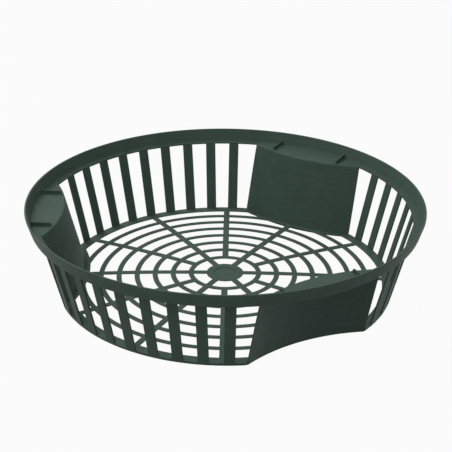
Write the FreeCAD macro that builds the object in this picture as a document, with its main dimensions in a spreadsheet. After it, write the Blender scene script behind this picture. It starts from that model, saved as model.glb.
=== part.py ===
import FreeCAD, Part
import math
import os
import Sketcher

# Bulb planting basket: one injection moulding, in millimetres.
# +Z is up and the origin is the middle of the foot circle, on the ground. The
# three solid panels are centred at 60, 180 and 300 degrees from +X about +Z.

# Driving dimensions: name, value, meaning.
SIZES = [
    ("rim_radius", 150.0, "outer edge of the rim"),
    ("height", 66.5, "ground to the rim's lip"),
    ("rim_band", 10.3, "height of the rim's outer band"),
    ("rim_flare", 3.2, "how far the band leans out over its height"),
    ("rim_wall", 1.6, "thickness of the band, measured level"),
    ("lip_ease", 0.5, "bevel of the lip's two edges"),
    ("ledge_width", 4.9, "step from the wall out to the band"),
    ("ledge", 1.3, "thickness of the ledge and of the shelves"),
    ("foot_radius", 127.8, "outer edge of the wall at the ground"),
    ("wall", 1.4, "thickness of wall, bars and panels, measured level"),
    ("bay_depth", 18.9, "how far a panel curves in from the wall's circle"),
    ("bay_radius", 129.0, "radius of a panel's outer face at the ground"),
    ("bar_width", 7.9, "width of an upright bar"),
    ("bar_spacing", 8.04, "degrees from bar to bar"),
    ("foot_height", 1.6, "ground to the underside of the base"),
    ("sheet", 0.8, "thickness of the base, its rings and its spokes"),
    ("crown", 3.8, "rise of the base from its border to its hub"),
    ("crown_bend", 2.3, "rise of the base at the bend under its fifth ring"),
    ("border", 5.8, "solid border of the base inside the wall"),
    ("panel_border", 3.0, "solid border of the base along a panel"),
    ("hub_radius", 14.2, "disc in the middle of the base"),
    ("gate_radius", 8.4, "round step in the middle of the hub"),
    ("gate_depth", 0.4, "depth of that step"),
    ("first_ring", 26.0, "middle radius of the innermost ring"),
    ("outer_gap", 11.5, "from the middle of the outermost ring to the border"),
    ("ring_width", 4.0, "width of a ring"),
    ("spoke_width", 4.8, "width of a spoke"),
    ("fin_offset", 29.0, "from the middle of a panel to either of its fins"),
    ("fin_inset", 1.5, "from the inner edge of the shelf to a fin"),
    ("fin_rise", 3.2, "height of a fin at the rim"),
    ("fin_nose", 2.6, "height of a fin over its inner end"),
    ("fin_slope", 1.0, "how far the inner end of a fin slants out"),
    ("fin_width", 1.3, "thickness of a fin"),
]
PANELS = 3
BARS = 9
RINGS = 7
SPOKES = 12

# Places worked out from the driving dimensions.
LEDGE_UNDER = "(size.height - size.rim_band)"
LEDGE_TOP = "(size.height - size.rim_band + size.ledge)"
BAND_RADIUS = "(size.rim_radius - size.rim_flare)"
WALL_RADIUS = "(size.rim_radius - size.rim_flare - size.ledge_width)"
LEAN = f"(({WALL_RADIUS} - size.foot_radius) / {LEDGE_UNDER})"
BAY_AXIS = "(size.foot_radius - size.bay_depth + size.bay_radius)"
SHEET_TOP = "(size.foot_height + size.sheet)"
SLOT_REACH = "(size.foot_radius - 2 * size.wall)"
OPEN_RADIUS = "(size.foot_radius - size.wall - size.border)"
RING_PITCH = f"(({OPEN_RADIUS} - size.outer_gap - size.first_ring) / {RINGS - 1})"
PANEL_ANGLE = 180 / PANELS
SECTOR = 360 / SPOKES


def polar(radius, degrees):
    angle = math.radians(degrees)
    return FreeCAD.Vector(radius * math.cos(angle), radius * math.sin(angle), 0)


# Sketch helpers

def plane_of(body, role):
    for feature in body.Origin.OriginFeatures:
        if feature.Role == role:
            return feature
    raise ValueError(role)


class Drawing:
    """A sketch on a plane of its body. Its constraints are gathered, then solved together."""

    def __init__(self, body, name, role):
        self.sketch = body.newObject("Sketcher::SketchObject", name)
        self.sketch.AttachmentSupport = (plane_of(body, role), "")
        self.sketch.MapMode = "FlatFace"
        self.constraints = []
        self.expressions = {}

    def number(self, expression):
        """The value that an expression in the driving dimensions has now."""
        return float(self.sketch.evalExpression(expression))

    def hold(self, kind, *where, size=None):
        """Adds a constraint. size is the expression that its value is bound to."""
        if size:
            self.expressions[len(self.constraints)] = size
        self.constraints.append(Sketcher.Constraint(kind, *where))

    def line(self, start, stop):
        """A straight edge: its number, and its first and last end as drawn."""
        return self.sketch.addGeometry(Part.LineSegment(start, stop), False), 1, 2

    def arc(self, centre, start, stop):
        """A round edge, the short way round."""
        low, high = [math.atan2(p.y - centre.y, p.x - centre.x) for p in (start, stop)]
        turn = (high - low) % (2 * math.pi)
        clockwise = turn > math.pi
        if clockwise:
            low, turn = high, 2 * math.pi - turn
        circle = Part.Circle(centre, FreeCAD.Vector(0, 0, 1), (start - centre).Length)
        arc = self.sketch.addGeometry(Part.ArcOfCircle(circle, low, low + turn), False)
        return (arc, 2, 1) if clockwise else (arc, 1, 2)

    def close_loop(self, ends):
        for index, (geometry, _, last) in enumerate(ends):
            following, first, _ = ends[(index + 1) % len(ends)]
            self.hold("Coincident", geometry, last, following, first)

    def finish(self):
        self.sketch.addConstraint(self.constraints)
        for index, expression in self.expressions.items():
            self.sketch.setExpression(f"Constraints[{index}]", expression)
        return self.sketch


def add_profile(drawing, corners):
    """A closed profile with straight edges through corners, each given by two expressions."""
    points = [FreeCAD.Vector(drawing.number(x), drawing.number(z), 0) for x, z in corners]
    ends = [drawing.line(start, stop) for start, stop in zip(points, points[1:] + points[:1])]
    drawing.close_loop(ends)
    for (line, first, _), point, (across, up) in zip(ends, points, corners):
        if across == "0":
            drawing.hold("PointOnObject", line, first, -2)
        else:
            drawing.hold("DistanceX", -1, 1, line, first, point.x, size=across)
        drawing.hold("DistanceY", -1, 1, line, first, point.y, size=up)


class Ray:
    """A construction line from the origin, from which bars, spokes and panels are set out."""

    def __init__(self, drawing, angle, length):
        degrees = drawing.number(angle)
        reach = drawing.number(length)
        self.direction = polar(1, degrees)
        self.tip = polar(reach, degrees)
        self.index = drawing.sketch.addGeometry(Part.LineSegment(FreeCAD.Vector(), self.tip), True)
        drawing.hold("Coincident", self.index, 1, -1, 1)
        drawing.hold("Angle", self.index, math.radians(degrees), size=f"({angle}) * 1 deg")
        drawing.hold("Distance", self.index, reach, size=length)


class Side:
    """A straight edge beside a ray, half a width to its left (+1) or right (-1)."""

    def __init__(self, drawing, ray, width, turn):
        self.ray = ray
        self.half = f"{width} / 2"
        normal = FreeCAD.Vector(-ray.direction.y, ray.direction.x, 0)
        self.foot = normal * (turn * drawing.number(self.half))

    def draw(self, drawing, start, stop):
        ends = drawing.line(start, stop)
        drawing.hold("Parallel", ends[0], self.ray.index)
        drawing.hold("Distance", -1, 1, ends[0], self.foot.Length, size=self.half)
        return ends


class Arc:
    """A round edge about the origin, or about the tip of a ray."""

    def __init__(self, drawing, radius, ray=None):
        self.radius = radius
        self.value = drawing.number(radius)
        self.centre = ray.tip if ray else FreeCAD.Vector()
        self.anchor = (ray.index, 2) if ray else (-1, 1)

    def draw(self, drawing, start, stop):
        ends = drawing.arc(self.centre, start, stop)
        drawing.hold("Coincident", ends[0], 3, *self.anchor)
        drawing.hold("Radius", ends[0], self.value, size=self.radius)
        return ends


def meet(one, other, near):
    """The crossing of two edges, a side or an arc each, that is nearest to near."""
    if isinstance(other, Side):
        one, other = other, one
    if isinstance(one, Side):
        along = one.ray.direction
        middle = (other.centre - one.foot).dot(along)
        clear = other.centre - one.foot - along * middle
        spread = math.sqrt(other.value ** 2 - clear.Length ** 2)
        found = [one.foot + along * (middle + side * spread) for side in (-1, 1)]
    else:
        gap = (other.centre - one.centre).Length
        along = (other.centre - one.centre) / gap
        across = FreeCAD.Vector(-along.y, along.x, 0)
        middle = (gap ** 2 + one.value ** 2 - other.value ** 2) / (2 * gap)
        spread = math.sqrt(one.value ** 2 - middle ** 2)
        found = [one.centre + along * middle + across * (side * spread) for side in (-1, 1)]
    return min(found, key=lambda place: (place - near).Length)


def add_window(drawing, edges, near):
    """A closed window with the given edges in order. near is a place beside its corners."""
    corners = [meet(edges[i - 1], edge, near) for i, edge in enumerate(edges)]
    loop = zip(edges, corners, corners[1:] + corners[:1])
    drawing.close_loop([edge.draw(drawing, start, stop) for edge, start, stop in loop])


# Feature helpers

def set_tip(body, feature):
    body.Document.recompute()
    body.Tip = feature
    return feature


def add_cone(body, kind, name, foot, top, height, across="0"):
    """A cone with an upright axis, standing on the ground."""
    cone = body.newObject(f"PartDesign::{kind}Cone", name)
    cone.AttachmentSupport = (plane_of(body, "XY_Plane"), "")
    cone.MapMode = "FlatFace"
    cone.setExpression("Radius1", foot)
    cone.setExpression("Radius2", top)
    cone.setExpression("Height", height)
    cone.setExpression("AttachmentOffset.Base.x", across)
    return set_tip(body, cone)


def add_revolution(body, name, sketch):
    turned = body.newObject("PartDesign::Revolution", name)
    turned.Profile = sketch
    turned.ReferenceAxis = (sketch, ["V_Axis"])
    turned.Angle = 360
    return set_tip(body, turned)


def add_straight(body, kind, name, sketch, length, **settings):
    """A Pad or a Pocket of a sketch."""
    feature = body.newObject(f"PartDesign::{kind}", name)
    feature.Profile = sketch
    feature.setExpression("Length", length)
    for setting, value in settings.items():
        setattr(feature, setting, value)
    return set_tip(body, feature)


def add_polar(body, name, originals, count):
    pattern = body.newObject("PartDesign::PolarPattern", name)
    pattern.Originals = originals
    pattern.Axis = (plane_of(body, "Z_Axis"), [""])
    pattern.Angle = 360
    pattern.Occurrences = count
    return set_tip(body, pattern)


# The inside of the moulding

def build_core(doc):
    """The space inside the wall and panels, with a finger through each slot of the wall."""
    core = doc.addObject("PartDesign::Body", "core")
    top = f"{WALL_RADIUS} + {LEAN} * size.ledge"
    add_cone(core, "Additive", "inside_of_wall", "size.foot_radius - size.wall", f"{top} - size.wall",
             LEDGE_TOP)
    panel_top = f"{BAY_AXIS} - ({top} - size.bay_depth) + size.wall"
    panel = add_cone(core, "Subtractive", "inside_of_panel", "size.bay_radius + size.wall", panel_top,
                     LEDGE_TOP, f"-{BAY_AXIS}")
    add_polar(core, "all_panels", [panel], PANELS)
    fingers = [add_straight(core, "Pad", "fingers", slot_plan(core), f"{LEDGE_UNDER} - {SHEET_TOP}")]
    fingers += [add_end_finger(core, name, turn) for name, turn in (("first_finger", -1), ("last_finger", 1))]
    add_polar(core, "all_fingers", fingers, PANELS)
    return core


def slot_plan(body):
    """The eight slots between nine upright bars of one width."""
    plan = Drawing(body, "slot_plan", "XY_Plane")
    plan.sketch.setExpression("AttachmentOffset.Base.z", SHEET_TOP)
    rays = [Ray(plan, f"{index - (BARS - 1) / 2} * size.bar_spacing", SLOT_REACH) for index in range(BARS)]
    for near_ray, far_ray in zip(rays, rays[1:]):
        add_window(plan, [
            Arc(plan, SLOT_REACH),
            Side(plan, far_ray, "size.bar_width", -1),
            Arc(plan, BAND_RADIUS),
            Side(plan, near_ray, "size.bar_width", 1),
        ], (near_ray.tip + far_ray.tip) / 2)
    return plan.finish()


def add_end_finger(body, name, turn):
    """The finger between the outermost bar and a panel. It is lofted from the foot to the ledge,
    because the panel's corner comes nearer to the panel's middle with height."""
    plans = []
    for end, height in (("foot", SHEET_TOP), ("top", LEDGE_UNDER)):
        plan = Drawing(body, f"{name}_{end}", "XY_Plane")
        plan.sketch.setExpression("AttachmentOffset.Base.z", height)
        bar_ray = Ray(plan, f"{turn * (BARS - 1) / 2} * size.bar_spacing", SLOT_REACH)
        corner_ray = Ray(plan, f"{turn} * ({PANEL_ANGLE} - {panel_corner(height)})", SLOT_REACH)
        add_window(plan, [
            Arc(plan, SLOT_REACH),
            Side(plan, corner_ray, "size.wall", -turn),
            Arc(plan, BAND_RADIUS),
            Side(plan, bar_ray, "size.bar_width", turn),
        ], (bar_ray.tip + corner_ray.tip) / 2)
        plans.append(plan.finish())
    body.Document.recompute()
    loft = body.newObject("PartDesign::AdditiveLoft", name)
    loft.Profile = plans[0]
    loft.Sections = [(plans[1], [""])]
    loft.Ruled = True
    return set_tip(body, loft)


def panel_corner(height):
    """Degrees from a panel's middle to its corner with the wall, as an expression."""
    outer = f"(size.foot_radius + {LEAN} * {height})"
    bay = f"(size.bay_radius - {LEAN} * {height})"
    return f"(acos(({BAY_AXIS} ^ 2 + {outer} ^ 2 - {bay} ^ 2) / (2 * {BAY_AXIS} * {outer})) / 1 deg)"


# Features of the moulding

def add_wall(body, core):
    """The outer form, hollowed by the core: wall, bars, and blocks where the bays will be."""
    add_cone(body, "Additive", "outer_form", "size.foot_radius", f"{WALL_RADIUS} + {LEAN} * size.ledge",
             LEDGE_TOP)
    hollow = body.newObject("PartDesign::Boolean", "hollow")
    hollow.setObjects([core])
    hollow.Type = "Cut"
    set_tip(body, hollow)


def add_rim(body):
    """The flared band with its eased lip, which stands out from the wall on a ledge."""
    profile = Drawing(body, "rim_profile", "XZ_Plane")
    in_wall = f"({WALL_RADIUS} - size.wall / 2)"
    lip = "(size.height - size.lip_ease)"
    add_profile(profile, [
        (in_wall, LEDGE_UNDER),
        (BAND_RADIUS, LEDGE_UNDER),
        ("size.rim_radius", lip),
        ("(size.rim_radius - size.lip_ease)", "size.height"),
        ("(size.rim_radius - size.rim_wall + size.lip_ease)", "size.height"),
        ("(size.rim_radius - size.rim_wall)", lip),
        (f"({BAND_RADIUS} - size.rim_wall)", LEDGE_TOP),
        (in_wall, LEDGE_TOP),
    ])
    add_revolution(body, "rim", profile.finish())


def add_base_sheet(body):
    """The base before it is cut: a flat border at the wall, and a middle that rises to the
    hub in two straight stretches, with the bend under a ring."""
    profile = Drawing(body, "base_profile", "XZ_Plane")
    in_wall = "(size.foot_radius - size.wall / 2)"
    bend = ring_middle(4)
    add_profile(profile, [
        ("0", "(size.foot_height + size.crown)"),
        ("size.hub_radius", "(size.foot_height + size.crown)"),
        (bend, "(size.foot_height + size.crown_bend)"),
        (OPEN_RADIUS, "size.foot_height"),
        (in_wall, "size.foot_height"),
        (in_wall, SHEET_TOP),
        (OPEN_RADIUS, SHEET_TOP),
        (bend, f"({SHEET_TOP} + size.crown_bend)"),
        ("size.hub_radius", f"({SHEET_TOP} + size.crown)"),
        ("0", f"({SHEET_TOP} + size.crown)"),
    ])
    add_revolution(body, "base_sheet", profile.finish())


def add_bays(body):
    """The hollows outside the panels, open at the ground and roofed by the shelves."""
    top = f"{BAY_AXIS} - ({WALL_RADIUS} - size.bay_depth)"
    bay = add_cone(body, "Subtractive", "bay", "size.bay_radius", top, LEDGE_UNDER, f"-{BAY_AXIS}")
    add_polar(body, "all_bays", [bay], PANELS)


def add_gate(body):
    """The shallow round step in the middle of the hub."""
    step = body.newObject("PartDesign::SubtractiveCylinder", "gate")
    step.AttachmentSupport = (plane_of(body, "XY_Plane"), "")
    step.MapMode = "FlatFace"
    step.setExpression("Radius", "size.gate_radius")
    step.setExpression("Height", "size.height")
    step.setExpression("AttachmentOffset.Base.z", f"{SHEET_TOP} + size.crown - size.gate_depth")
    set_tip(body, step)


def add_fins(body):
    """Two upright fins on each shelf, which stiffen the rim where it has no bars below."""
    fins = []
    foot = f"({LEDGE_TOP} - size.ledge / 2)"
    panel_radius = f"(size.bay_radius + size.wall - {LEAN} * {LEDGE_TOP})"
    inner = f"({BAY_AXIS} - sqrt({panel_radius} ^ 2 - size.fin_offset ^ 2) + size.fin_inset)"
    in_band = f"({BAND_RADIUS} - size.rim_wall / 2)"
    flare = "size.rim_flare * size.fin_rise / (size.rim_band - size.ledge)"
    for name, sign in (("fin", "-"), ("other_fin", "")):
        profile = Drawing(body, f"{name}_profile", "XZ_Plane")
        profile.sketch.setExpression("AttachmentOffset.Base.z", f"{sign}size.fin_offset")
        add_profile(profile, [
            (f"-{inner}", foot),
            (f"-sqrt({in_band} ^ 2 - size.fin_offset ^ 2)", foot),
            (f"-sqrt(({in_band} + {flare}) ^ 2 - size.fin_offset ^ 2)", f"({LEDGE_TOP} + size.fin_rise)"),
            (f"-({inner} + size.fin_slope)", f"({LEDGE_TOP} + size.fin_nose)"),
            (f"-{inner}", LEDGE_TOP),
        ])
        fins.append(add_straight(body, "Pad", name, profile.finish(), "size.fin_width", Midplane=True))
    add_polar(body, "all_fins", fins, PANELS)


def ring_middle(index):
    """Middle radius of a ring, counted from the innermost, as an expression."""
    return f"(size.first_ring + {index} * {RING_PITCH})"


def ring_edge(index, side):
    """Radius of the inner (-1) or outer (+1) edge of a ring, as an expression."""
    sign = "+" if side > 0 else "-"
    return f"({ring_middle(index)} {sign} size.ring_width / 2)"


def add_grille(body):
    """Windows in the base that leave the hub, the rings, the spokes and the border."""
    makers = [
        ("hub_window", hub_window, SPOKES // 2),
        ("ring_window", ring_window, SPOKES),
        ("outer_window", outer_window, PANELS),
    ]
    for name, maker, count in makers:
        plan = Drawing(body, f"{name}_plan", "XY_Plane")
        maker(plan)
        depth = f"{SHEET_TOP} + 2 * size.crown"
        cut = add_straight(body, "Pocket", name, plan.finish(), depth, Reversed=True)
        add_polar(body, f"all_{name}s", [cut], count)


def hub_window(plan):
    """Between the hub and the first ring only every other spoke runs on."""
    rays = [Ray(plan, str(angle), "size.hub_radius") for angle in (0, 2 * SECTOR)]
    row_window(plan, *rays, 1, "size.hub_radius", ring_edge(0, -1))


def ring_window(plan):
    """From the first ring to the last but one there is a window in each sector of each row."""
    rays = [Ray(plan, str(angle), "size.hub_radius") for angle in (0, SECTOR)]
    for ring in range(RINGS - 2):
        row_window(plan, *rays, 1, ring_edge(ring, 1), ring_edge(ring + 1, -1))


def outer_window(plan):
    """The last two rows are whole midway between two panels, and end at the border beside one."""
    panel_ray = Ray(plan, str(PANEL_ANGLE), BAY_AXIS)
    for turn in (-1, 1):
        rays = [Ray(plan, str(PANEL_ANGLE + turn * step * SECTOR), "size.hub_radius") for step in (1, 2)]
        row_window(plan, *rays, turn, ring_edge(RINGS - 2, 1), ring_edge(RINGS - 1, -1))
        row_window(plan, *rays, turn, ring_edge(RINGS - 1, 1), OPEN_RADIUS)
        border_windows(plan, panel_ray, rays[0], turn)


def row_window(plan, near_ray, far_ray, turn, low, high):
    """A window between two rays and two radii. far_ray lies on the turn side of near_ray."""
    inner = Arc(plan, low)
    add_window(plan, [
        Side(plan, near_ray, "size.spoke_width", turn),
        Arc(plan, high),
        Side(plan, far_ray, "size.spoke_width", -turn),
        inner,
    ], (near_ray.direction + far_ray.direction) * (inner.value / 2))


def border_windows(plan, panel_ray, far_ray, turn):
    """The windows of the last two rows that the border along a panel cuts short."""
    panel_border = "(size.bay_radius + size.wall + size.panel_border)"
    row_low, row_high, edge_low = [ring_edge(RINGS - 2, 1), ring_edge(RINGS - 1, -1), ring_edge(RINGS - 1, 1)]
    middle = panel_ray.direction + far_ray.direction
    add_window(plan, [
        Side(plan, panel_ray, "size.spoke_width", turn),
        Arc(plan, row_low),
        Side(plan, far_ray, "size.spoke_width", -turn),
        Arc(plan, row_high),
        Arc(plan, panel_border, panel_ray),
    ], middle * (plan.number(row_high) / middle.Length))
    add_window(plan, [
        Arc(plan, panel_border, panel_ray),
        Arc(plan, edge_low),
        Side(plan, far_ray, "size.spoke_width", -turn),
        Arc(plan, OPEN_RADIUS),
    ], far_ray.direction * plan.number(edge_low))


def build_basket(doc):
    core = build_core(doc)
    basket = doc.addObject("PartDesign::Body", "basket")
    basket.Label = "basket"
    add_wall(basket, core)
    add_rim(basket)
    add_base_sheet(basket)
    add_bays(basket)
    add_gate(basket)
    add_fins(basket)
    add_grille(basket)
    basket.Placement = FreeCAD.Placement()
    return basket


# The document

def fill_sheet(doc):
    sheet = doc.addObject("Spreadsheet::Sheet", "size")
    for row, (name, value, meaning) in enumerate(SIZES, start=1):
        sheet.set(f"A{row}", meaning)
        sheet.set(f"B{row}", str(value))
        sheet.setAlias(f"B{row}", name)
    doc.recompute()
    return sheet


def check(doc, parts):
    for item in doc.Objects:
        if "Invalid" in item.State or "Error" in item.State:
            raise RuntimeError(f"{item.Name} failed: {item.State}")
    for part in parts:
        if part.Shape.isNull() or not part.Shape.isValid():
            raise RuntimeError(f"{part.Label} has no valid shape")
        shape = part.Shape
        print(f"{part.Label}: {len(shape.Solids)} solid, {shape.Volume:.0f} mm3, {shape.BoundBox}")


def main():
    doc = FreeCAD.newDocument("bulb_planting_basket")
    fill_sheet(doc)
    parts = [build_basket(doc)]
    doc.recompute()
    check(doc, parts)
    os.makedirs("parts", exist_ok=True)
    for part in parts:
        part.Shape.exportStep(f"parts/{part.Label}.step")


main()
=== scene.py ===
# %% [markdown]
# # Bulb planting basket
# A shallow round basket of dark green polypropylene, in which flower bulbs are planted and lifted
# again. It is one injection moulding: a flared rim, three walls of upright bars, three solid panels
# that curve inwards to make room for the fingers, and a base of rings and spokes, crowned a little in
# the middle. The lesson builds it as a mould maker thinks of it, as thin sheets and ribs of even
# thickness, and then welds them into one closed skin.

# %% The frame
import math

import bmesh
import bpy
from mathutils import Euler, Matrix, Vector


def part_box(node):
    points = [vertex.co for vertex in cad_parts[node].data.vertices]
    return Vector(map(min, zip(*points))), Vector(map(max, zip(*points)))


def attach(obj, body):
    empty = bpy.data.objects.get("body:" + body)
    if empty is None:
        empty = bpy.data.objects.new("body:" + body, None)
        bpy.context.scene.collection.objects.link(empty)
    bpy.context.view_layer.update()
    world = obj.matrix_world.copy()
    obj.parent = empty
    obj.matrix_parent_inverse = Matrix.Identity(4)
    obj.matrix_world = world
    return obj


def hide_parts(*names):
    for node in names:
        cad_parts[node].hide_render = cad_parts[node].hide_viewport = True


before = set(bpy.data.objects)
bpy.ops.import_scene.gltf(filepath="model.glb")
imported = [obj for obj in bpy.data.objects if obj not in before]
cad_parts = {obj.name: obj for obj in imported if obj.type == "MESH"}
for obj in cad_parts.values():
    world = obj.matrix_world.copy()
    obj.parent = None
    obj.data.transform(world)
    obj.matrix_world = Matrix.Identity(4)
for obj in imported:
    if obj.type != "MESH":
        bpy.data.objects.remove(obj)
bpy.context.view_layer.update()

# %% [markdown]
# ## Sizes
# The solid model gives the whole width and height. The other sizes are those of the mould: they could
# be measured from the solid's mesh, but a maker sets a thing out from drawing sizes, so they are
# written once here, in millimetres, and everything else is worked out from them. The wall leans
# outwards by its draft, which lets the basket leave the mould.

# %% Sizes
MM = 0.001
low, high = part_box("basket")
RIM_RADIUS = min(high[0], high[1], -low[0], -low[1])
HEIGHT = high[2]
RIM_BAND = 10.3 * MM  # height of the rim's outer band
RIM_FLARE = 3.2 * MM  # how far the band leans out over its height
RIM_WALL = 1.6 * MM
LEDGE_WIDTH = 4.9 * MM  # step from the wall out to the band
LEDGE = 1.3 * MM  # thickness of the ledge and the shelves
FOOT_RADIUS = 127.8 * MM
WALL = 1.4 * MM
BAY_DEPTH = 18.9 * MM  # how far a panel curves in from the wall's circle
BAY_RADIUS = 129.0 * MM  # radius of a panel's outer face at the ground
BAR_WIDTH = 7.9 * MM
BAR_SPACING = math.radians(8.04)
BARS = 9
FOOT_HEIGHT = 1.6 * MM  # ground to the underside of the base
SHEET = 0.8 * MM  # thickness of the base
CROWN = 3.8 * MM  # rise of the base towards its middle
CROWN_POWER = 2.4  # 2 would make the crown a parabola, more makes its middle flatter
BORDER = 5.8 * MM  # solid border of the base inside the wall
PANEL_BORDER = 3.0 * MM  # solid border of the base along a panel
HUB_RADIUS = 14.2 * MM
GATE_RADIUS = 8.4 * MM  # round step in the middle of the hub
GATE_DEPTH = 0.4 * MM
FIRST_RING = 26.0 * MM
OUTER_GAP = 11.5 * MM  # from the middle of the outermost ring to the border
RING_WIDTH = 4.0 * MM
RINGS = 7
SPOKE_WIDTH = 4.8 * MM
SPOKES = 12
FIN_OFFSET = 29.0 * MM  # from the middle of a panel to either of its fins
FIN_INSET = 1.5 * MM  # from the inner edge of the shelf to a fin
FIN_RISE = 3.2 * MM  # height of a fin at the rim
FIN_NOSE = 2.6 * MM  # height of a fin over its inner end
FIN_SLOPE = 1.0 * MM  # how far the inner end of a fin slants out
FIN_WIDTH = 1.3 * MM
PANELS = 3
print(f"rim {2 * RIM_RADIUS / MM:.1f} mm across, {HEIGHT / MM:.1f} mm high")

# %% Sizes that follow
PANEL_ANGLE = math.pi / PANELS  # bearing of the first panel's middle
LEDGE_UNDER = HEIGHT - RIM_BAND
LEDGE_TOP = LEDGE_UNDER + LEDGE
BAND_RADIUS = RIM_RADIUS - RIM_FLARE
WALL_RADIUS = BAND_RADIUS - LEDGE_WIDTH
LEAN = (WALL_RADIUS - FOOT_RADIUS) / LEDGE_UNDER
BAY_AXIS = FOOT_RADIUS - BAY_DEPTH + BAY_RADIUS  # from the basket's axis to that of a panel's cone
PANEL_MIDDLE = BAY_RADIUS + WALL / 2  # middle of a panel's sheet, from the cone's axis
PANEL_EDGE = BAY_RADIUS + WALL + PANEL_BORDER  # edge of its border in the base, from the same axis
SHEET_TOP = FOOT_HEIGHT + SHEET
OPEN_RADIUS = FOOT_RADIUS - WALL - BORDER  # the web of rings and spokes fills this radius
RING_PITCH = (OPEN_RADIUS - OUTER_GAP - FIRST_RING) / (RINGS - 1)
print(f"draft {math.degrees(math.atan(LEAN)):.1f} degrees, rings {RING_PITCH / MM:.1f} mm apart")

# %% [markdown]
# ## Round forms of the mould
# Three rules place every point. The wall is a cone about the basket's axis. Each panel is a cone about
# an upright axis outside the basket, with the same draft. The base rises towards the middle as a
# shallow dome. The corner of a panel is where its cone meets the wall's. In these rules rho is a
# distance from the axis of a panel's cone, and phi a turn about that axis.

# %% Rules of the form
def wall_radius(height):
    """Outer radius of the wall."""
    return FOOT_RADIUS + LEAN * height


def bay_point(rho, phi, height):
    """A point at distance rho from the axis of the bay over +60 degrees, turned by phi."""
    centre = Vector((math.cos(PANEL_ANGLE), math.sin(PANEL_ANGLE), 0)) * BAY_AXIS
    back = Vector((math.cos(PANEL_ANGLE + phi), math.sin(PANEL_ANGLE + phi), 0)) * -rho
    return centre + back + Vector((0, 0, height))


def bay_turn(rho, radius):
    """How far to turn about the bay's axis, at distance rho, to be at this radius of the basket."""
    return math.acos((BAY_AXIS ** 2 + rho ** 2 - radius ** 2) / (2 * BAY_AXIS * rho))


def panel_bearing(rho, radius):
    """Angle at the basket's axis between a panel's middle and a point at this rho and radius."""
    return math.acos((BAY_AXIS ** 2 + radius ** 2 - rho ** 2) / (2 * BAY_AXIS * radius))


def crown(radius):
    """Rise of the base over its flat border."""
    return CROWN * max(0.0, 1 - (radius / OPEN_RADIUS) ** CROWN_POWER)


def spread(first, last, count):
    """Evenly spaced values, both ends included."""
    return [first + (last - first) * i / (count - 1) for i in range(count)]


panel_share = math.degrees(2 * panel_bearing(BAY_RADIUS, FOOT_RADIUS))
bars_share = math.degrees(BARS * BAR_SPACING)
print(f"a panel takes {panel_share:.1f} degrees of the foot circle, its bars {bars_share:.1f}")

# %% [markdown]
# ## Sheets
# Panels, shelves and borders are sheets of even thickness. They could be planes with a Solidify
# modifier, but a panel's two faces are cones about one axis, and the sheet turns a corner into the
# shelf, so both faces are given as grids of points. A narrow bevel then breaks every sharp edge, as
# the mould's polished edges do, and gives the edge lines that the eye reads as plastic.

# %% Making sheets
EDGE = 0.3 * MM
EDGE_STEPS = 2
SHARP = math.radians(40)


def new_object(name, data):
    """An object that holds a mesh, lamp or camera, linked to the scene."""
    item = bpy.data.objects.new(name, data)
    bpy.context.collection.objects.link(item)
    return item


def plain_mesh(item, name):
    """The evaluated object as a mesh without modifiers. The object itself goes."""
    graph = bpy.context.evaluated_depsgraph_get()
    mesh = bpy.data.meshes.new_from_object(item.evaluated_get(graph))
    mesh.name = name
    old = item.data
    bpy.data.objects.remove(item)
    bpy.data.meshes.remove(old)
    return mesh


def eased(name, points, faces, edge):
    """A mesh of closed faces, all turned outwards, with its sharp edges bevelled."""
    mesh = bpy.data.meshes.new(name)
    mesh.from_pydata([tuple(p) for p in points], [], faces)
    form = bmesh.new()
    form.from_mesh(mesh)
    bmesh.ops.recalc_face_normals(form, faces=form.faces)
    form.to_mesh(mesh)
    form.free()
    item = new_object(name, mesh)
    bevel = item.modifiers.new("eased edges", "BEVEL")
    bevel.width = edge
    bevel.segments = EDGE_STEPS
    bevel.angle_limit = SHARP
    bevel.use_clamp_overlap = True
    bpy.context.view_layer.update()
    return plain_mesh(item, name)


def sheet_mesh(name, front, back):
    """A closed sheet between two grids of points, with its sharp edges eased."""
    rows, columns = len(front), len(front[0])
    points = [p for row in front for p in row] + [p for row in back for p in row]
    behind = rows * columns
    faces = []
    for r in range(rows - 1):
        for c in range(columns - 1):
            corner = r * columns + c
            square = [corner, corner + 1, corner + columns + 1, corner + columns]
            faces.append(square)
            faces.append([behind + i for i in reversed(square)])
    outline = list(range(columns))
    outline += [r * columns + columns - 1 for r in range(1, rows)]
    outline += [(rows - 1) * columns + c for c in range(columns - 2, -1, -1)]
    outline += [r * columns for r in range(rows - 2, 0, -1)]
    for i, j in zip(outline, outline[1:] + outline[:1]):
        faces.append([j, i, behind + i, behind + j])
    return eased(name, points, faces, EDGE)


print(f"edges are eased by {EDGE / MM:.1f} mm in {EDGE_STEPS} steps")

# %% [markdown]
# ## A panel and its shelf
# The panel keeps soil in and gives the hand a smooth place. On the real basket it turns over into a
# shelf that carries the rim above the bay, in one sheet. Making panel and shelf as two plates would
# leave a hard line on the bend that catches the light in the photo, so the grid runs up the panel,
# round a bend and out along the shelf.

# %% Panel and shelf
BEND = 1.0 * MM
BEND_INSIDE = 0.3 * MM
BEND_STEPS = 5
PANEL_ROWS = 4
PANEL_COLUMNS = 41
SHELF_STEPS = 4
SHELF_REACH = 1.2 * MM  # how far the shelf goes on past the wall, inside the rim's ledge
SHELF_RADIUS = WALL_RADIUS + SHELF_REACH
TOUCH = 0.03 * MM  # the panel's outer face stops this far inside the wall's


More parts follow.
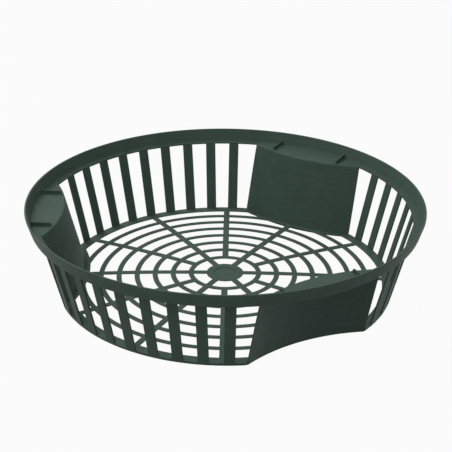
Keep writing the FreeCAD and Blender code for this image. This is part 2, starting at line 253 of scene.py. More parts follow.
def panel_profile(face_radius, top, bend):
    """Rho and height of a panel's face from the ground, round its bend, to the shelf."""
    slant = math.hypot(1, LEAN)
    start = math.atan(LEAN)
    centre_height = top - bend
    centre_rho = face_radius - LEAN * centre_height - bend * slant
    turns = [(centre_rho + bend * math.cos(a), centre_height + bend * math.sin(a))
             for a in spread(start, math.pi / 2, BEND_STEPS)]
    straight = [(face_radius - LEAN * z, z) for z in spread(0, turns[0][1], PANEL_ROWS)]
    return straight + turns[1:]


def panel_face(face_radius, top, bend, inset):
    """A face of the panel and its shelf. It ends at the wall, inset from its outer face."""
    profile = panel_profile(face_radius, top, bend)
    grid = []
    for rho, z in profile:
        reach = bay_turn(rho, wall_radius(min(z, LEDGE_UNDER)) - inset)
        columns = spread(-reach, reach, PANEL_COLUMNS)
        grid.append([bay_point(rho, phi, z) for phi in columns])
    # Out along the shelf, the columns of the last row run on to the end of the shelf.
    last = profile[-1][0]
    ends = [BAY_AXIS * math.cos(phi) - math.sqrt(SHELF_RADIUS ** 2 - (BAY_AXIS * math.sin(phi)) ** 2)
            for phi in columns]
    for share in spread(0, 1, SHELF_STEPS + 1)[1:]:
        grid.append([bay_point(last + (end - last) * share, phi, top)
                     for phi, end in zip(columns, ends)])
    return grid


panel = sheet_mesh("panel", panel_face(BAY_RADIUS, LEDGE_UNDER, BEND_INSIDE, TOUCH),
                   panel_face(BAY_RADIUS + WALL, LEDGE_TOP, BEND, WALL))
print("panel", len(panel.polygons), "faces")

# %% [markdown]
# ## Foot and border
# Below the slots the wall goes on as a low kerb that the basket stands on. Inside it lies the border
# of the base, a flat strip that the rings and spokes end in. Both run between two panels and sink
# half way into them, and another strip follows the foot of each panel.

# %% Foot and border
FOOT_COLUMNS = 61
FOOT_ROWS = 3
STRIP_COLUMNS = 31
STRIP_ROWS = 3
STRIP_RADIUS = (OPEN_RADIUS + FOOT_RADIUS - WALL) / 2  # the panel's strip ends inside the border


def between_panels(rho, radius, height):
    """Points of one radius over the bars, from one panel's sheet to the next one's."""
    end = PANEL_ANGLE - panel_bearing(rho, radius)
    return [Vector((radius * math.cos(a), radius * math.sin(a), height))
            for a in spread(-end, end, FOOT_COLUMNS)]


def kerb_face(inset):
    """A face of the kerb, inset from the wall's outer face."""
    return [between_panels(PANEL_MIDDLE - LEAN * z, wall_radius(z) - inset, z)
            for z in spread(0, SHEET_TOP, FOOT_ROWS)]


def border_face(height):
    """The upper or lower face of the border, at its height."""
    return [between_panels(PANEL_MIDDLE, radius, height)
            for radius in spread(OPEN_RADIUS, FOOT_RADIUS - WALL / 2, FOOT_ROWS)]


def on_crown(point):
    """The point raised by the crown of the base."""
    return point + Vector((0, 0, crown(math.hypot(point.x, point.y))))


def strip_face(height):
    """The upper or lower face of the strip along a panel. Its height is that before the crown."""
    rows = []
    for rho in spread(PANEL_MIDDLE, PANEL_EDGE, STRIP_ROWS):
        reach = bay_turn(rho, STRIP_RADIUS)
        rows.append([on_crown(bay_point(rho, phi, height))
                     for phi in spread(-reach, reach, STRIP_COLUMNS)])
    return rows


kerb = sheet_mesh("kerb", kerb_face(0), kerb_face(WALL))
border = sheet_mesh("border", border_face(FOOT_HEIGHT), border_face(SHEET_TOP))
panel_strip = sheet_mesh("panel_strip", strip_face(FOOT_HEIGHT), strip_face(SHEET_TOP))
print("kerb", len(kerb.polygons), "border", len(border.polygons),
      "strip", len(panel_strip.polygons), "faces")

# %% [markdown]
# ## Fins
# Two small upright fins on each shelf keep the rim from folding where it has no bars below. Each is a
# flat plate with a slanting inner end, drawn once as an outline and given its thickness.

# %% Fins
FIN_EDGE = 0.2 * MM


def fin_mesh(side):
    """The fin on one side (-1 or 1) of the middle of the panel over +60 degrees."""
    edge_rho = BAY_RADIUS + WALL - LEAN * LEDGE_TOP
    inner = BAY_AXIS - math.sqrt(edge_rho ** 2 - FIN_OFFSET ** 2) + FIN_INSET
    foot = LEDGE_TOP - LEDGE / 2
    # The outer end leans outwards inside the rim's flared band.
    in_band = [BAND_RADIUS - RIM_WALL / 2 + RIM_FLARE * rise / (RIM_BAND - LEDGE)
               for rise in (0, FIN_RISE)]
    outer, outer_top = [math.sqrt(radius ** 2 - FIN_OFFSET ** 2) for radius in in_band]
    outline = [(inner, foot), (outer, foot), (outer, LEDGE_TOP), (outer_top, LEDGE_TOP + FIN_RISE),
               (inner + FIN_SLOPE, LEDGE_TOP + FIN_NOSE), (inner, LEDGE_TOP)]
    along = Vector((math.cos(PANEL_ANGLE), math.sin(PANEL_ANGLE), 0))
    across = Vector((-along.y, along.x, 0))
    middle = across * (side * FIN_OFFSET)
    points = [middle + along * r + across * (face * FIN_WIDTH / 2) + Vector((0, 0, z))
              for face in (-1, 1) for r, z in outline]
    count = len(outline)
    faces = [list(range(count)), list(range(2 * count - 1, count - 1, -1))]
    faces += [[i, (i + 1) % count, count + (i + 1) % count, count + i] for i in range(count)]
    return eased("fin", points, faces, FIN_EDGE)


fins = [fin_mesh(side) for side in (-1, 1)]
print("fins", sum(len(fin.polygons) for fin in fins), "faces")

# %% [markdown]
# ## Turned forms
# Two pieces of the basket are round about its axis. Each is made from a closed outline of corners,
# which is rounded at every corner and spun. A Screw modifier would do the same, but the outline has to
# close on the axis for the hub, so a few lines of mesh code are plainer.

# %% Turned forms
ROUND_STEPS = 4
TURN_STEPS = 240
SAME_POINT = 0.001 * MM  # points nearer than this are one


def rounded(corners):
    """An outline of (radius, height, rounding) corners as points, with each corner rounded."""
    points = []
    for index, (r, z, rounding) in enumerate(corners):
        here = Vector((r, z))
        if rounding == 0:
            points.append(here)
            continue
        before = (Vector(corners[index - 1][:2]) - here).normalized()
        after = (Vector(corners[(index + 1) % len(corners)][:2]) - here).normalized()
        half = before.angle(after) / 2
        middle = here + (before + after).normalized() * (rounding / math.sin(half))
        start = here + before * (rounding / math.tan(half)) - middle
        stop = here + after * (rounding / math.tan(half)) - middle
        sweep = start.angle_signed(stop)
        for step in range(ROUND_STEPS + 1):
            turn = -sweep * step / ROUND_STEPS
            points.append(middle + Vector((start.x * math.cos(turn) - start.y * math.sin(turn),
                                           start.x * math.sin(turn) + start.y * math.cos(turn))))
    return points


def turned_mesh(name, corners):
    """A closed outline spun about the axis. Points on the axis become one point."""
    mesh = bpy.data.meshes.new(name)
    form = bmesh.new()
    outline = [form.verts.new((p.x, 0, p.y)) for p in rounded(corners)]
    loop = [form.edges.new((a, b)) for a, b in zip(outline, outline[1:] + outline[:1])
            if a.co.x > 0 or b.co.x > 0]
    bmesh.ops.spin(form, geom=outline + loop, cent=(0, 0, 0), axis=(0, 0, 1), angle=2 * math.pi,
                   steps=TURN_STEPS, use_merge=True)
    bmesh.ops.remove_doubles(form, verts=form.verts, dist=SAME_POINT)
    bmesh.ops.recalc_face_normals(form, faces=form.faces)
    form.to_mesh(mesh)
    form.free()
    return mesh


print("a full turn takes", TURN_STEPS, "steps, a rounded corner", ROUND_STEPS)

# %% [markdown]
# ## Rim and hub
# The rim is a level ledge with a band that rises from its outer edge and leans out, both about a
# millimetre and a half thick, because thick plastic shrinks unevenly as it cools. The hub is a disc
# with a shallow round step, where the plastic is let into the mould. Both could be cut from cylinders,
# but an outline shows the whole section at a glance, with each corner's own rounding beside it.

# %% Rim and hub
RIM_FOOT_ROUND = 0.2 * MM
RIM_ROUND = 0.4 * MM
RIM_INSIDE_ROUND = 0.5 * MM
HUB_UNDER_ROUND = 0.3 * MM
HUB_TOP_ROUND = 0.35 * MM
GATE_ROUND = 0.1 * MM

rim = turned_mesh("rim", [
    (WALL_RADIUS - WALL, LEDGE_UNDER, RIM_FOOT_ROUND),
    (BAND_RADIUS, LEDGE_UNDER, RIM_ROUND),
    (RIM_RADIUS, HEIGHT, RIM_ROUND),
    (RIM_RADIUS - RIM_WALL, HEIGHT, RIM_INSIDE_ROUND),
    (BAND_RADIUS - RIM_WALL, LEDGE_TOP, RIM_ROUND),
    (WALL_RADIUS - WALL, LEDGE_TOP, RIM_INSIDE_ROUND),
])

hub_top = SHEET_TOP + CROWN
hub = turned_mesh("hub", [
    (0, FOOT_HEIGHT + CROWN, 0),
    (HUB_RADIUS, FOOT_HEIGHT + crown(HUB_RADIUS), HUB_UNDER_ROUND),
    (HUB_RADIUS, SHEET_TOP + crown(HUB_RADIUS), HUB_TOP_ROUND),
    (GATE_RADIUS, SHEET_TOP + crown(GATE_RADIUS), GATE_ROUND),
    (GATE_RADIUS, hub_top - GATE_DEPTH, GATE_ROUND),
    (0, hub_top - GATE_DEPTH, 0),
])
print("rim", len(rim.polygons), "hub", len(hub.polygons), "faces")

# %% [markdown]
# ## Node trees
# What repeats on the basket is set out by Geometry Nodes. One small helper adds a node with its
# settings and links, and another runs a finished tree and keeps the result as a plain mesh.

# %% Helpers for node trees
def add(tree, kind, links=None, **settings):
    """Adds a node. links maps its inputs to values, outputs, nodes (their first output) or lists."""
    item = tree.nodes.new(kind)
    for name, value in settings.items():
        setattr(item, name, value)
    for socket, value in (links or {}).items():
        for source in value if isinstance(value, list) else [value]:
            if isinstance(source, bpy.types.Node):
                source = source.outputs[0]
            if isinstance(source, bpy.types.NodeSocket):
                tree.links.new(source, item.inputs[socket])
            else:
                item.inputs[socket].default_value = source
    return item


def new_tree(name, inputs):
    """A Geometry Nodes tree with named inputs, and the outputs that give them."""
    tree = bpy.data.node_groups.new(name, "GeometryNodeTree")
    for label, kind in inputs.items():
        tree.interface.new_socket(label, in_out="INPUT", socket_type=f"NodeSocket{kind}")
    tree.interface.new_socket("Mesh", in_out="OUTPUT", socket_type="NodeSocketGeometry")
    return tree, add(tree, "NodeGroupInput").outputs


def run_tree(tree, name, values):
    """Runs the tree once with the given values, set by each socket's identifier."""
    item = new_object(name, bpy.data.meshes.new(name))
    modifier = item.modifiers.new(name, "NODES")
    modifier.node_group = tree
    sockets = {s.name: s.identifier for s in tree.interface.items_tree if s.in_out == "INPUT"}
    for label, value in values.items():
        modifier[sockets[label]] = value
    bpy.context.view_layer.update()
    return plain_mesh(item, name)


# %% [markdown]
# ## Strips and copies
# Bars, rings and spokes are all flat strips with rounded edges, laid along a line or a circle. A cube
# stretched to size would do for a bar, but not for a ring, so every strip is a small rounded
# section swept along its path. A path can roll as it goes, so the section is held by a direction that
# is set for the whole path. What repeats round the basket shares one turn evenly.

# %% Strips and copies
UP = (0, 0, 1)
ALONG_WALL = (0, 1, 0)  # level, along the wall, at the bearing where a bar is drawn


def rounded_strip(tree, path, held, size_held, size_across):
    """Sweeps a rounded strip along a path, with one size in the held direction and one across it."""
    steady = add(tree, "GeometryNodeSetCurveNormal", {"Curve": path, "Normal": held}, mode="FREE")
    outline = add(tree, "GeometryNodeCurvePrimitiveQuadrilateral",
                  {"Width": size_held, "Height": size_across})
    section = add(tree, "GeometryNodeFilletCurve",
                  {"Curve": outline, "Count": EDGE_STEPS, "Radius": EDGE, "Limit Radius": True},
                  mode="POLY")
    return add(tree, "GeometryNodeCurveToMesh",
               {"Curve": steady, "Profile Curve": section, "Fill Caps": True})


def angle_of(tree, number, count, first=0.0):
    """The angle of a copy by its number, when count copies share a turn from the first angle."""
    share = add(tree, "ShaderNodeMath", {0: 2 * math.pi, 1: count}, operation="DIVIDE")
    return add(tree, "ShaderNodeMath", {0: number, 1: share, 2: first}, operation="MULTIPLY_ADD")


def turned_copies(tree, shape, count, angle, place=(0, 0, 0)):
    """Copies of a shape at one place, each turned about the upright axis by its own angle."""
    points = add(tree, "GeometryNodePoints", {"Count": count, "Position": place})
    turn = add(tree, "ShaderNodeCombineXYZ", {"Z": angle})
    return add(tree, "GeometryNodeInstanceOnPoints",
               {"Points": points, "Instance": shape, "Rotation": turn})


# %% [markdown]
# ## Upright bars
# Nine bars of one width stand in each of the three walls. They lean outwards with the wall, so each is
# a straight rounded strip from inside the kerb to inside the ledge. The tree makes one strip and puts
# 27 copies on the basket's axis, each turned about it. The copies are numbered through all three walls,
# so the whole part of number over nine is the wall, and the remainder is the bar's place in it.

# %% Upright bars
def bars_tree():
    tree, given = new_tree("upright bars", {
        "Width": "Float", "Thickness": "Float", "Foot": "Vector", "Head": "Vector",
        "Per wall": "Int", "Walls": "Int", "Spacing": "Float",
    })
    path = add(tree, "GeometryNodeCurvePrimitiveLine", {"Start": given["Foot"], "End": given["Head"]})
    strip = rounded_strip(tree, path, ALONG_WALL, given["Width"], given["Thickness"])
    index = add(tree, "GeometryNodeInputIndex")
    wall = add(tree, "ShaderNodeMath", {0: index, 1: given["Per wall"]}, operation="DIVIDE")
    wall_number = add(tree, "ShaderNodeMath", {0: wall}, operation="FLOOR")
    place = add(tree, "ShaderNodeMath", {0: index, 1: given["Per wall"]}, operation="MODULO")
    last = add(tree, "ShaderNodeMath", {0: given["Per wall"], 1: 1.0}, operation="SUBTRACT")
    middle = add(tree, "ShaderNodeMath", {0: last, 1: 0.5}, operation="MULTIPLY")
    offset = add(tree, "ShaderNodeMath", {0: place, 1: middle}, operation="SUBTRACT")
    in_wall = add(tree, "ShaderNodeMath", {0: offset, 1: given["Spacing"]}, operation="MULTIPLY")
    angle = angle_of(tree, wall_number, given["Walls"], in_wall)
    total = add(tree, "ShaderNodeMath", {0: given["Per wall"], 1: given["Walls"]},
                operation="MULTIPLY")
    copies = turned_copies(tree, strip, total, angle)
    real = add(tree, "GeometryNodeRealizeInstances", {0: copies})
    add(tree, "NodeGroupOutput", {0: real})
    return tree


def in_wall_middle(height):
    """The middle of the wall's thickness at a height, on the bearing where a bar is drawn."""
    return wall_radius(height) - WALL / 2, 0, height


bars = run_tree(bars_tree(), "bars", {
    "Width": BAR_WIDTH, "Thickness": WALL, "Foot": in_wall_middle(SHEET / 2),
    "Head": in_wall_middle(LEDGE_UNDER + LEDGE / 2),
    "Per wall": BARS, "Walls": PANELS, "Spacing": BAR_SPACING,
})
print("bars", len(bars.polygons), "faces")

# %% [markdown]
# ## The crowned base
# The base is a web of seven rings and twelve spokes, flat strips that follow the crown. They could be
# made flat and bent afterwards, but the rule of the crown is known, so every strip is laid at its true
# height at once. A few nodes give that height for any distance from the axis.

# %% The crowned base
WEB_INPUTS = {"Width": "Float", "Thickness": "Float", "Height": "Float", "Crown": "Float",
              "Reach": "Float"}


def web_values(width):
    """What rings and spokes share: section, height of the base's middle, and crown."""
    return {"Width": width, "Thickness": SHEET, "Height": FOOT_HEIGHT + SHEET / 2, "Crown": CROWN,
            "Reach": OPEN_RADIUS}


def on_base(tree, radius, given):
    """The point on the axis that is as high as the middle of the base at a radius."""
    ratio = add(tree, "ShaderNodeMath", {0: radius, 1: given["Reach"]}, operation="DIVIDE")
    power = add(tree, "ShaderNodeMath", {0: ratio, 1: CROWN_POWER}, operation="POWER")
    fall = add(tree, "ShaderNodeMath", {0: 1.0, 1: power}, operation="SUBTRACT")
    held = add(tree, "ShaderNodeMath", {0: fall, 1: 0.0}, operation="MAXIMUM")
    rise = add(tree, "ShaderNodeMath", {0: held, 1: given["Crown"]}, operation="MULTIPLY")
    level = add(tree, "ShaderNodeMath", {0: rise, 1: given["Height"]}, operation="ADD")
    return add(tree, "ShaderNodeCombineXYZ", {"Z": level})


print(f"the underside of the base is {FOOT_HEIGHT / MM:.1f} mm up at its border,",
      f"{(FOOT_HEIGHT + CROWN) / MM:.1f} mm in the middle")

# %% [markdown]
# ## Rings
# The rings leave gaps that let water out and keep bulbs and soil in. A circle scaled to each ring's
# radius and then swept keeps the section true, which scaling a finished ring would not. The outermost
# ring is three arcs, because the border along each panel cuts it.

# %% Rings
RING_STEPS = 192
ARC_SINK = 0.25 * MM  # how far an arc runs on into the border along a panel


def rings_tree():
    tree, given = new_tree("rings", {
        **WEB_INPUTS, "First": "Float", "Pitch": "Float", "Count": "Int",
        "Arc radius": "Float", "Arc start": "Float", "Arc sweep": "Float", "Arcs": "Int",
    })
    index = add(tree, "GeometryNodeInputIndex")
    # Whole rings: circles of radius 1, scaled, made real, and only then swept.
    radius = add(tree, "ShaderNodeMath", {0: index, 1: given["Pitch"], 2: given["First"]},
                 operation="MULTIPLY_ADD")
    points = add(tree, "GeometryNodePoints",
                 {"Count": given["Count"], "Position": on_base(tree, radius, given)})
    size = add(tree, "ShaderNodeCombineXYZ", {"X": radius, "Y": radius, "Z": 1.0})
    circle = add(tree, "GeometryNodeCurvePrimitiveCircle", {"Resolution": RING_STEPS, "Radius": 1.0})
    whole = add(tree, "GeometryNodeInstanceOnPoints",
                {"Points": points, "Instance": circle, "Scale": size})
    # The outermost ring: the same arc three times.
    arc = add(tree, "GeometryNodeCurveArc", {
        "Resolution": RING_STEPS // PANELS, "Radius": given["Arc radius"],
        "Start Angle": given["Arc start"], "Sweep Angle": given["Arc sweep"],
    })
    arc_place = on_base(tree, given["Arc radius"], given)
    angle = angle_of(tree, index, given["Arcs"])
    cut = turned_copies(tree, arc, given["Arcs"], angle, arc_place)
    both = add(tree, "GeometryNodeJoinGeometry", {0: [whole, cut]})
    real = add(tree, "GeometryNodeRealizeInstances", {0: both})
    web = rounded_strip(tree, real, UP, given["Thickness"], given["Width"])
    add(tree, "NodeGroupOutput", {0: web})
    return tree


outer_ring = FIRST_RING + RING_PITCH * (RINGS - 1)
arc_end = panel_bearing(PANEL_EDGE, outer_ring - RING_WIDTH / 2) - ARC_SINK / outer_ring
rings = run_tree(rings_tree(), "rings", {
    **web_values(RING_WIDTH), "First": FIRST_RING, "Pitch": RING_PITCH, "Count": RINGS - 1,
    "Arc radius": outer_ring, "Arc start": arc_end - PANEL_ANGLE,
    "Arc sweep": 2 * (PANEL_ANGLE - arc_end), "Arcs": PANELS,
})
print("rings", len(rings.polygons), "faces")

# %% [markdown]
# ## Spokes
# The spokes are straight from above and follow the crown, so each is a line cut into short pieces that
# are raised onto it. Every other spoke reaches the hub, and the rest stop at the innermost ring. Their
# ends run on a little into what they meet, so that the weld has something to hold.

# %% Spokes
SPOKE_STEPS = 25
SINK = 2.0 * MM  # how far a spoke runs on into the hub, the border or a panel's border


def spokes_tree():
    tree, given = new_tree("spokes", {
        **WEB_INPUTS, "From": "Float", "To": "Float", "Count": "Int", "First angle": "Float",
    })
    start = add(tree, "ShaderNodeCombineXYZ", {"X": given["From"]})
    end = add(tree, "ShaderNodeCombineXYZ", {"X": given["To"]})
    line = add(tree, "GeometryNodeCurvePrimitiveLine", {"Start": start, "End": end})
    fine = add(tree, "GeometryNodeResampleCurve", {"Curve": line, "Count": SPOKE_STEPS})
    along = add(tree, "ShaderNodeSeparateXYZ", {0: add(tree, "GeometryNodeInputPosition")})
    lift = on_base(tree, along.outputs["X"], given)
    raised = add(tree, "GeometryNodeSetPosition", {"Geometry": fine, "Offset": lift})
    strip = rounded_strip(tree, raised, UP, given["Thickness"], given["Width"])
    index = add(tree, "GeometryNodeInputIndex")
    angle = angle_of(tree, index, given["Count"], given["First angle"])
    copies = turned_copies(tree, strip, given["Count"], angle)
    real = add(tree, "GeometryNodeRealizeInstances", {0: copies})
    add(tree, "NodeGroupOutput", {0: real})
    return tree


# For each kind of spoke: where it starts and ends, how many there are, and the first one's angle.
spoke_kinds = {
    "to_panel": (HUB_RADIUS - SINK, BAY_AXIS - PANEL_EDGE + SINK, PANELS, PANEL_ANGLE),
    "to_kerb": (HUB_RADIUS - SINK, OPEN_RADIUS + SINK, PANELS, 0.0),
    "beside_panel": (FIRST_RING, OPEN_RADIUS + SINK, SPOKES // 2, 2 * math.pi / SPOKES),
}
one_kind = spokes_tree()
spokes = []
for name, (start, end, count, first_angle) in spoke_kinds.items():
    spokes.append(run_tree(one_kind, f"spokes_{name}", {
        **web_values(SPOKE_WIDTH), "From": start, "To": end, "Count": count,
        "First angle": first_angle,
    }))
print("spokes", sum(len(kind.polygons) for kind in spokes), "faces")

# %% [markdown]
# ## One moulding
# The real basket has no joins, so the sheets, bars, rings and spokes are welded into one closed skin.
# Left as overlapping shells they would look the same in a picture, but the mesh would hold walls
# inside its plastic. The tree turns the third of the basket round its axis, splits everything into its
# separate shells and unites them. The Manifold solver is quick, and its result is closed because each
# shell is. The cuts leave faces without area, which go when points that all but coincide are merged.

# %% Weld
def one_object(name, meshes):
    """An object that holds the given meshes joined."""
    form = bmesh.new()
    for mesh in meshes:
        form.from_mesh(mesh)
    joined = bpy.data.meshes.new(name)
    form.to_mesh(joined)
    form.free()
    return new_object(name, joined)


def weld_tree():
    tree, given = new_tree("one moulding", {
        "Third": "Object", "Round": "Object", "Count": "Int", "Material": "Material",
    })
    third = add(tree, "GeometryNodeObjectInfo", {"Object": given["Third"]}).outputs["Geometry"]
    whole = add(tree, "GeometryNodeObjectInfo", {"Object": given["Round"]}).outputs["Geometry"]
    angle = angle_of(tree, add(tree, "GeometryNodeInputIndex"), given["Count"])
    copies = turned_copies(tree, third, given["Count"], angle)
    all_shells = add(tree, "GeometryNodeJoinGeometry", {0: [copies, whole]})
    real = add(tree, "GeometryNodeRealizeInstances", {0: all_shells})
    island = add(tree, "GeometryNodeInputMeshIsland").outputs["Island Index"]
    shells = add(tree, "GeometryNodeSplitToInstances", {"Geometry": real, "Group ID": island},
                 domain="FACE")
    united = add(tree, "GeometryNodeMeshBoolean", {"Mesh 2": shells.outputs["Instances"]},
                 operation="UNION", solver="MANIFOLD")
    clean = add(tree, "GeometryNodeMergeByDistance", {"Geometry": united, "Distance": SAME_POINT})
    skin = add(tree, "GeometryNodeRealizeInstances", {0: clean})
    finish = add(tree, "GeometryNodeSetMaterial", {"Geometry": skin, "Material": given["Material"]})
    add(tree, "NodeGroupOutput", {0: finish})
    return tree


third = one_object("third", [panel, kerb, border, panel_strip, *fins])
whole = one_object("whole", [rim, hub, bars, rings, *spokes])
print("to weld:", len(third.data.polygons), "faces of each third,", len(whole.data.polygons),
      "of the round pieces")

# %% [markdown]
# ## Dark green moulded polypropylene
# Polypropylene has an index of refraction near 1.49, and a plain steel mould leaves it satin rather
# than glossy. The tiny pits of that finish hide part of the reflection, so the specular level is set
# below that of a polished surface. Four things keep the surface from looking flat, all in the object's
# own coordinates: a faint mottle of the pigment over some 15 mm, the lay that the turned mould leaves,
# a finer unevenness of the polish, and a light grain. The lay is noise that reads only the distance
# from the axis and the height, so that it runs round the basket. The real grain is about 0.2 mm and
# would vanish at this distance, so it is drawn at 0.8 mm.

# %% Colours
DARK_GREEN = "#31433B"
LIGHT_GREEN = "#4B5D55"


def linear(hex_colour):
    """A hex sRGB colour as linear RGBA."""
    channels = [int(hex_colour[i:i + 2], 16) / 255 for i in (1, 3, 5)]
    return (*[c / 12.92 if c <= 0.04045 else ((c + 0.055) / 1.055) ** 2.4 for c in channels], 1.0)


for green in (DARK_GREEN, LIGHT_GREEN):
    print(green, "is", [round(c, 3) for c in linear(green)[:3]], "in linear light")

# %% Plastic
MOTTLE = 15 * MM
LAY = 2.5 * MM
LAY_SHARE = 0.5  # how much of the change in colour is the lay's, the rest being the mottle's
POLISH = 4 * MM
GRAIN = 0.8 * MM
GRAIN_HEIGHT = 0.1 * MM
GRAIN_STRENGTH = 0.08
SMOOTHEST, ROUGHEST = 0.50, 0.64
POLYPROPYLENE_IOR = 1.49
PITTED_SPECULAR = 0.13  # a polished surface has 0.5


def empty_nodes(owner):
    """The node tree of a material or a world, emptied."""
    owner.use_nodes = True
    owner.node_tree.nodes.clear()
    return owner.node_tree


def moulded_polypropylene(name, dark, light):
    material = bpy.data.materials.new(name)
    tree = empty_nodes(material)
    place = add(tree, "ShaderNodeTexCoord").outputs["Object"]
    mottle = add(tree, "ShaderNodeTexNoise", {"Vector": place, "Scale": 1 / MOTTLE, "Detail": 3.0})
    level = add(tree, "ShaderNodeVectorMath", {0: place, 1: (1, 1, 0)}, operation="MULTIPLY")
    radius = add(tree, "ShaderNodeVectorMath", {0: level}, operation="LENGTH").outputs["Value"]
    height = add(tree, "ShaderNodeSeparateXYZ", {0: place}).outputs["Z"]
    ring = add(tree, "ShaderNodeCombineXYZ", {"X": radius, "Z": height})
    lay = add(tree, "ShaderNodeTexNoise", {"Vector": ring, "Scale": 1 / LAY, "Detail": 2.0})
    both = add(tree, "ShaderNodeMix", {0: LAY_SHARE, 2: mottle, 3: lay}, data_type="FLOAT")
    colour = add(tree, "ShaderNodeMix", {0: both, 6: linear(dark), 7: linear(light)},
                 data_type="RGBA").outputs[2]
    polish = add(tree, "ShaderNodeTexNoise", {"Vector": place, "Scale": 1 / POLISH, "Detail": 4.0})
    roughness = add(tree, "ShaderNodeMapRange",
                    {"Value": polish, "To Min": SMOOTHEST, "To Max": ROUGHEST})
    grain = add(tree, "ShaderNodeTexNoise", {"Vector": place, "Scale": 1 / GRAIN, "Detail": 2.0})
    bump = add(tree, "ShaderNodeBump",
               {"Height": grain, "Strength": GRAIN_STRENGTH, "Distance": GRAIN_HEIGHT})
    shader = add(tree, "ShaderNodeBsdfPrincipled", {
        "Base Color": colour, "Roughness": roughness, "Normal": bump,
        "IOR": POLYPROPYLENE_IOR, "Specular IOR Level": PITTED_SPECULAR,
    })
    add(tree, "ShaderNodeOutputMaterial", {"Surface": shader})
    return material


plastic = moulded_polypropylene("moulded_polypropylene_dark_green", DARK_GREEN, LIGHT_GREEN)
print("plastic", len(plastic.node_tree.nodes), "nodes")

# %% [markdown]
# ## The basket
# The skin is shaded smooth, with hard creases kept where two walls meet. On their own, smooth normals
# would lean over at every eased edge and make the flat faces look like cushions. Weighted Normal gives
# the large faces their true direction, and only the narrow eased edges turn the light.

# %% The basket
CREASE = math.radians(50)
skin = run_tree(weld_tree(), "planting_basket", {
    "Third": third, "Round": whole, "Count": PANELS, "Material": plastic,
})
for scrap in (third, whole):
    bpy.data.objects.remove(scrap)
skin.shade_smooth()
skin.set_sharp_from_angle(angle=CREASE)
moulding = new_object("planting_basket", skin)
steady = moulding.modifiers.new("flats stay flat", "WEIGHTED_NORMAL")
steady.keep_sharp = True
bpy.context.view_layer.update()
skin = plain_mesh(moulding, "planting_basket")
basket = new_object("planting_basket", skin)
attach(basket, "root")
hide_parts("basket")
print("moulding", len(skin.polygons), "faces,", len(skin.vertices), "points")

# %% [markdown]
# ## Floor
# The photo is a catalogue picture on pure white. A white floor under strong lamps would do it, but it
# would light the basket from below as well. So the floor shows as white only to the camera and in
# reflections, through Light Path, and a small part of it is lit as usual, which leaves a faint shadow
# under the basket. Its true colour is a middle grey, which throws little light back at the wall.

# %% Floor
FLOOR_SIZE = 6.0
FLOOR_GREY = "#A4A4A4"
FLOOR_SHADOW_SHARE = 0.05
WHITE = (1, 1, 1, 1)


def seen_white(tree):
    """1 for the rays that meet plain white: those of the camera, of gloss and through glass."""
    rays = add(tree, "ShaderNodeLightPath").outputs
    seen = add(tree, "ShaderNodeMath", {0: rays["Is Camera Ray"], 1: rays["Is Glossy Ray"]},
               operation="MAXIMUM")
    return add(tree, "ShaderNodeMath", {0: seen, 1: rays["Is Transmission Ray"]},
               operation="MAXIMUM")


def white_floor(lit_colour):
    material = bpy.data.materials.new("white_sweep")
    tree = empty_nodes(material)
    share = add(tree, "ShaderNodeMath", {0: seen_white(tree), 1: 1 - FLOOR_SHADOW_SHARE},
                operation="MULTIPLY")
    lit = add(tree, "ShaderNodeBsdfDiffuse", {"Color": linear(lit_colour)})
    white = add(tree, "ShaderNodeEmission", {"Color": WHITE, "Strength": 1.0})
    both = add(tree, "ShaderNodeMixShader", {0: share, 1: lit, 2: white})
    add(tree, "ShaderNodeOutputMaterial", {"Surface": both})
    return material


half = FLOOR_SIZE / 2
floor_corners = [(-half, -half, 0), (half, -half, 0), (half, half, 0), (-half, half, 0)]
floor_mesh = bpy.data.meshes.new("floor")
floor_mesh.from_pydata(floor_corners, [], [(0, 1, 2, 3)])
floor_mesh.materials.append(white_floor(FLOOR_GREY))
floor = new_object("floor", floor_mesh)
print(f"floor {FLOOR_SIZE:.0f} m wide, {FLOOR_SHADOW_SHARE:.0%} of its brightness lit as usual")

# %% [markdown]
# ## World
# The world stands for the white walls of the studio. White light from all sides would wash out the
# shade between the bars, so the world is fully white only where it is seen, and the light that it
# throws on the basket is much weaker.

# %% World
AMBIENT = 0.3
world =bpy.data.worlds.new("studio")
bpy.context.scene.world = world
studio = empty_nodes(world)
strength = add(studio, "ShaderNodeMapRange",
               {"Value": seen_white(studio), "To Min": AMBIENT, "To Max": 1.0})
sky = add(studio, "ShaderNodeBackground", {"Color": WHITE, "Strength": strength})
add(studio, "ShaderNodeOutputWorld", {"Surface": sky})
print("ambient light", AMBIENT, "of white")

# %% [markdown]
# ## Lamps
# The main lamp stands behind on the left and is rather small, so that the fins and the rim shade the
# shelves as they do in the photo. A large soft lamp high in front opens up the inside of the basket,
# and a weak one on the left lifts the outside of the wall there. One ring of light from all sides
# would be simpler, but would take the shape out of the fins.

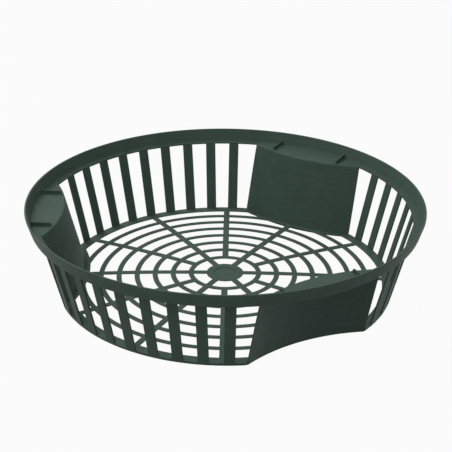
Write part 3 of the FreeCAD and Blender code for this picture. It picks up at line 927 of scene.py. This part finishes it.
# %% Lamps
LAMP_AIM = Vector((0, 0, 30)) * MM


def soft_lamp(name, place, size, power):
    """A square lamp of some size in metres and power in watts, turned to the basket."""
    lamp = bpy.data.lights.new(name, "AREA")
    lamp.size = size
    lamp.energy = power
    item = new_object(name, lamp)
    item.location = place
    item.rotation_euler = (LAMP_AIM - Vector(place)).to_track_quat("-Z", "Y").to_euler()
    return item


lamps = [
    soft_lamp("key_behind_left", (-0.75, 0.75, 1.1), size=0.5, power=8.5),
    soft_lamp("fill_front", (-0.2, -0.75, 1.3), size=1.0, power=7.3),
    soft_lamp("fill_left", (-1.1, -0.8, 0.8), size=0.6, power=3.0),
]
print(f"lamps {sum(lamp.data.energy for lamp in lamps):.1f} W in all")

# %% [markdown]
# ## Camera
# The place, aim, roll and field of view come from fitting the photo's outlines: rim, bars, rings and
# panels. The camera stands a little over a metre away and looks down by about 25 degrees.

# %% Camera
SENSOR = 36.0  # width in millimetres, as Blender gives a camera's sensor and lens
FIELD_OF_VIEW = math.radians(19.556)
ROLL = math.radians(0.561)
CAMERA_PLACE = Vector((7.97, -897.65, 471.88)) * MM
CAMERA_AIM = Vector((-0.33, 95.58, 0)) * MM
camera_data = bpy.data.cameras.new("camera")
camera_data.sensor_width = SENSOR
camera_data.lens = SENSOR / 2 / math.tan(FIELD_OF_VIEW / 2)
camera = new_object("camera", camera_data)
sight = CAMERA_AIM - CAMERA_PLACE
turn = sight.to_track_quat("-Z", "Y").to_matrix().to_4x4()
camera.matrix_world = turn @ Euler((0, 0, ROLL)).to_matrix().to_4x4()
camera.location = CAMERA_PLACE
bpy.context.scene.camera = camera
bpy.context.scene.view_settings.view_transform = "Standard"
down = math.degrees(math.asin(-sight.z / sight.length))
print(f"lens {camera_data.lens:.1f} mm, looking down by {down:.1f} degrees from {sight.length:.2f} m")

# %% [markdown]
# ## Finish
# The solid model stays in the scene, hidden, beside the finished basket, and the scene is brought up to
# date.

# %% Finish
bpy.context.view_layer.update()
